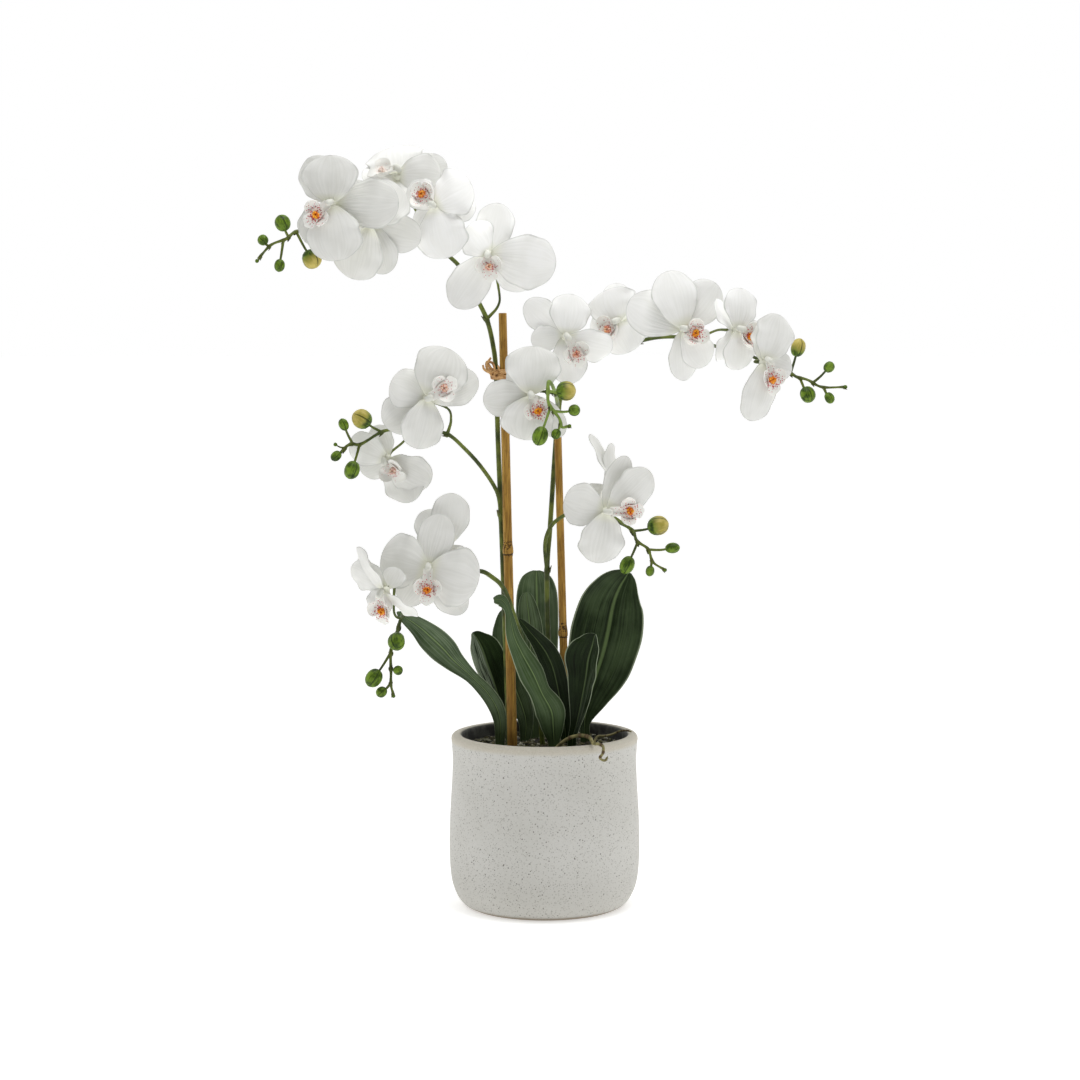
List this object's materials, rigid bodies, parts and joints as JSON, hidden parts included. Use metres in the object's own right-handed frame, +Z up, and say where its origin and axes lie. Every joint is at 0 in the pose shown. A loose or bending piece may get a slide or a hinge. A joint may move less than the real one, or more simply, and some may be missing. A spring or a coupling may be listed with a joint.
{
  "type": "potted moth orchid",
  "caption": "White moth orchid with arching flower spikes, bamboo canes and dark leaves in a round speckled stoneware pot.",
  "frame": {"origin": "middle of the underside of the pot's flat base", "axes": "+Z up along the pot's axis; the front, which the blooms face, is towards -Y; +X to the right seen from the front"},
  "size_m": [0.5008, 0.2456, 0.6704],
  "materials": {
    "stoneware": "matt speckled",
    "mix": "loose fine bark",
    "cane": "satin",
    "raffia": "dry fibre",
    "stem": "waxy",
    "root": "matt",
    "leaf": "leathery satin",
    "petal": "soft matt",
    "lip": "soft matt, speckled"
  },
  "bodies": {
    "root": {"bloom_01": "petal", "bloom_02": "petal", "bloom_03": "petal", "bloom_04": "petal", "bloom_05": "petal", "bloom_06": "petal", "bloom_07": "petal", "bloom_08": "petal", "bloom_09": "petal", "bloom_10": "petal", "bloom_11": "petal", "bloom_12": "petal", "bloom_13": "petal", "bloom_14": "petal", "bloom_15": "petal", "bloom_16": "petal", "bloom_17": "petal", "bloom_18": "petal", "cane_left": "cane", "cane_right": "cane", "leaf_1": "leaf", "leaf_2": "leaf", "leaf_3": "leaf", "leaf_4": "leaf", "leaf_5": "leaf", "leaf_6": "leaf", "leaf_7": "leaf", "leaf_8": "leaf", "leaf_9": "leaf", "lip_01": "lip", "lip_02": "lip", "lip_03": "lip", "lip_04": "lip", "lip_05": "lip", "lip_06": "lip", "lip_07": "lip", "lip_08": "lip", "lip_09": "lip", "lip_10": "lip", "lip_11": "lip", "lip_12": "lip", "lip_13": "lip", "lip_14": "lip", "lip_15": "lip", "lip_16": "lip", "lip_17": "lip", "lip_18": "lip", "pot": "stoneware", "raffia_tie": "raffia", "root_curled": "root", "root_rim": "root", "soil": "mix", "stem_left": "stem", "stem_low": "stem", "stem_right": "stem"}
  },
  "joints": []
}
